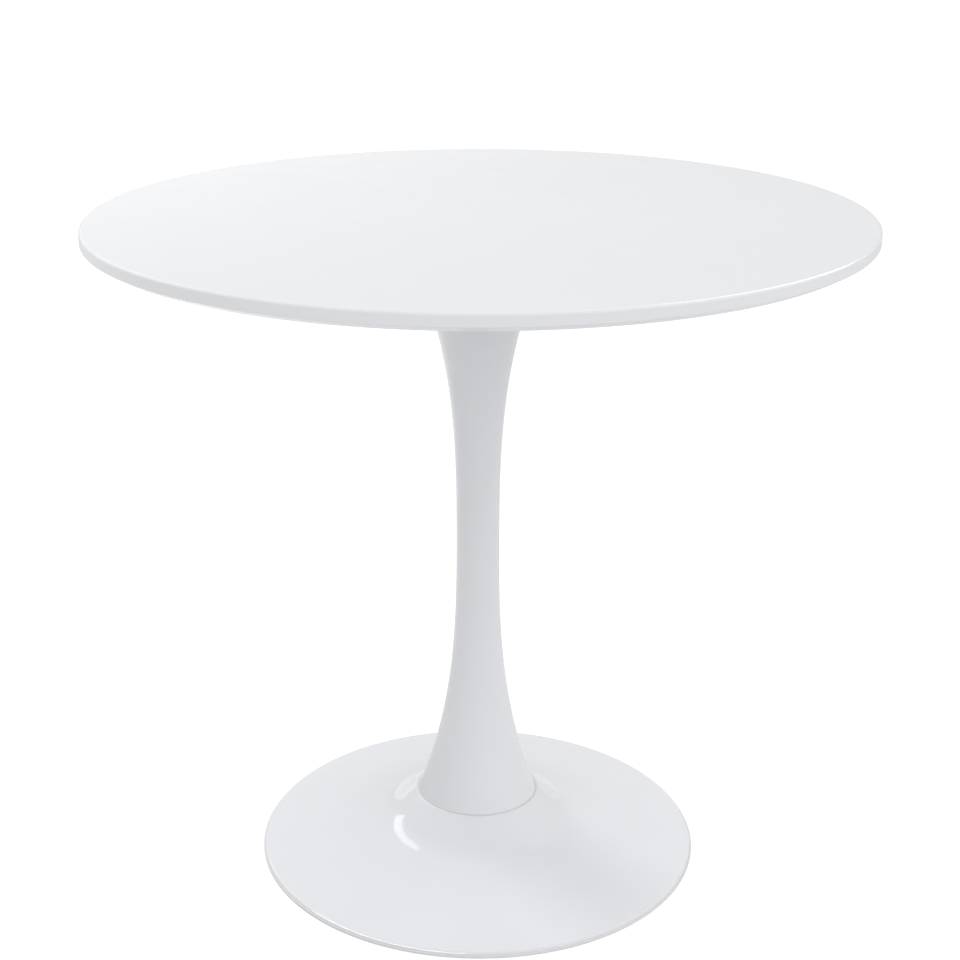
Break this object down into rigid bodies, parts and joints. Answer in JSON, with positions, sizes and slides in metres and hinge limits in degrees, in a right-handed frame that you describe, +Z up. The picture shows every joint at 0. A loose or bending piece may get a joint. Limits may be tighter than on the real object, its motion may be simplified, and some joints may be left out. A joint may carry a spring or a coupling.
{
  "type": "round pedestal table",
  "caption": "White round pedestal table: bevelled lacquered board top on a slender trumpet column and a round spun steel foot, held together by a rod through the column.",
  "frame": {"origin": "on the floor, on the table's axis", "axes": "+Z up along the column to the tabletop; the table is round, so X and Y are free"},
  "size_m": [0.8, 0.8, 0.72],
  "materials": {
    "lacquered_board": "gloss white lacquer on fibreboard",
    "white_powder_coat": "gloss white powder coat on spun steel",
    "zinc_plated_steel": "bright zinc plating",
    "zinc_alloy": "plain die-cast zinc alloy",
    "white_gasket": "matt off-white rubber",
    "edge_trim": "satin pale grey soft edging"
  },
  "bodies": {
    "root": {"base_shell": "white_powder_coat", "clamp_plate": "zinc_plated_steel", "column_foot_disc": "zinc_plated_steel", "column_foot_gasket": "white_gasket", "column_head_disc": "zinc_plated_steel", "column_head_gasket": "white_gasket", "column_shell": "white_powder_coat", "foot_ring": "edge_trim", "mounting_plate": "white_powder_coat", "plate_flat_washers": "zinc_plated_steel", "plate_screws": "zinc_plated_steel", "plate_spring_washers": "zinc_plated_steel", "rod_anchor_nut": "zinc_plated_steel", "rod_flat_washer": "zinc_plated_steel", "rod_jam_nut": "zinc_plated_steel", "rod_nut": "zinc_plated_steel", "rod_spring_washer": "zinc_plated_steel", "tabletop": "lacquered_board", "threaded_inserts": "zinc_alloy", "tie_rod": "zinc_plated_steel"}
  },
  "joints": []
}
